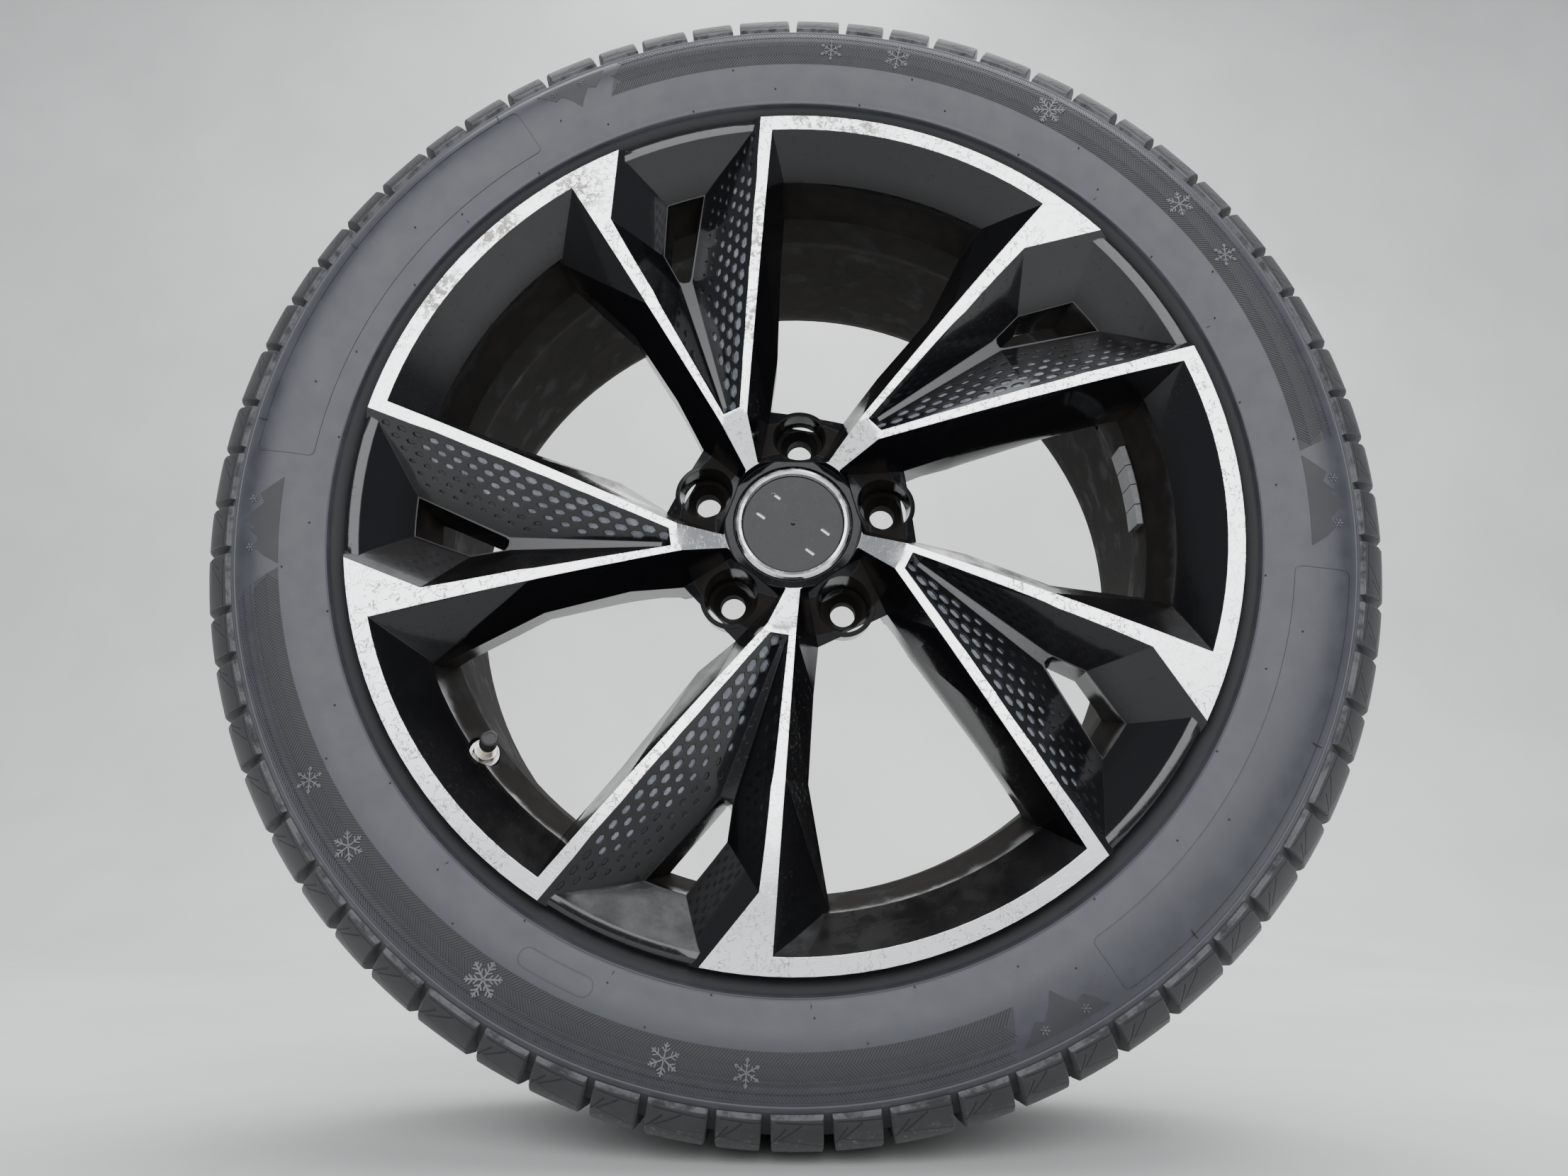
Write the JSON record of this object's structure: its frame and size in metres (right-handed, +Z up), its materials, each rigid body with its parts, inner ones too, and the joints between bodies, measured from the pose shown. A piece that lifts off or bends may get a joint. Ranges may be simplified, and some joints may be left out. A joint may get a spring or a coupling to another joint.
{
  "type": "wheel and tyre assembly",
  "caption": "Passenger car wheel: a cast alloy disc with forked spokes and a machined face, fitted with a studless winter tyre, centre cap, valve and balance weights.",
  "frame": {"origin": "centre of the wheel: on its axis, at the middle plane of the rim and tyre", "axes": "+Z up, wheel spins about Y, outer face towards -Y and mounting face towards +Y"},
  "size_m": [0.6776, 0.242, 0.6776],
  "materials": {
    "wheel_paint": "gloss black with a machined bright face",
    "tyre_rubber": "matt moulded rubber",
    "cap_black": "gloss black",
    "cap_chrome": "bright chrome, pitted",
    "spring_steel": "bright wire",
    "valve_nickel": "nickel plated",
    "valve_rubber": "matt",
    "washer_steel": "bright",
    "core_brass": "plain brass",
    "valve_cap_plastic": "satin black",
    "seal_red": "matt",
    "tape_black": "matt foam",
    "weight_grey": "dull coated grey"
  },
  "bodies": {
    "wheel": {"alloy_wheel": "wheel_paint", "tyre": "tyre_rubber", "centre_cap_body": "cap_black", "centre_cap_ring": "cap_chrome", "cap_spring_ring": "spring_steel", "valve_stem": "valve_nickel", "valve_grommet": "valve_rubber", "valve_washer": "washer_steel", "valve_nut": "valve_nickel", "valve_core_barrel": "core_brass", "valve_core_seal": "valve_rubber", "valve_core_spring": "spring_steel", "weight_tape": "tape_black", "balance_weight_1": "weight_grey", "balance_weight_2": "weight_grey", "balance_weight_3": "weight_grey", "balance_weight_4": "weight_grey"},
    "cap_lift": {"valve_cap_seal": "seal_red"},
    "cap_turn": {"valve_cap": "valve_cap_plastic"},
    "core_pin": {"valve_core_pin": "core_brass"}
  },
  "joints": [
    {"name": "cap_turn", "type": "hinge", "parent": "cap_lift", "child": "cap_turn", "pos_m": [-0.17123, -0.081, -0.13378], "axis": [0.3577, -0.891, 0.2795], "range_deg": [0, 2160]},
    {"name": "cap_lift", "type": "slide", "parent": "wheel", "child": "cap_lift", "axis": [0.3577, -0.891, 0.2795], "range_m": [0, 0.00476]},
    {"name": "core_press", "type": "slide", "parent": "wheel", "child": "core_pin", "axis": [-0.3577, 0.891, -0.2795], "range_m": [0, 0.0015], "stiffness_N_per_m": 300, "springref_m": -0.002, "deforming": ["valve_core_spring"]}
  ],
  "couplings": [
    {"joint": "cap_turn", "follows": "cap_lift", "rad_per_m": 7913.3}
  ]
}
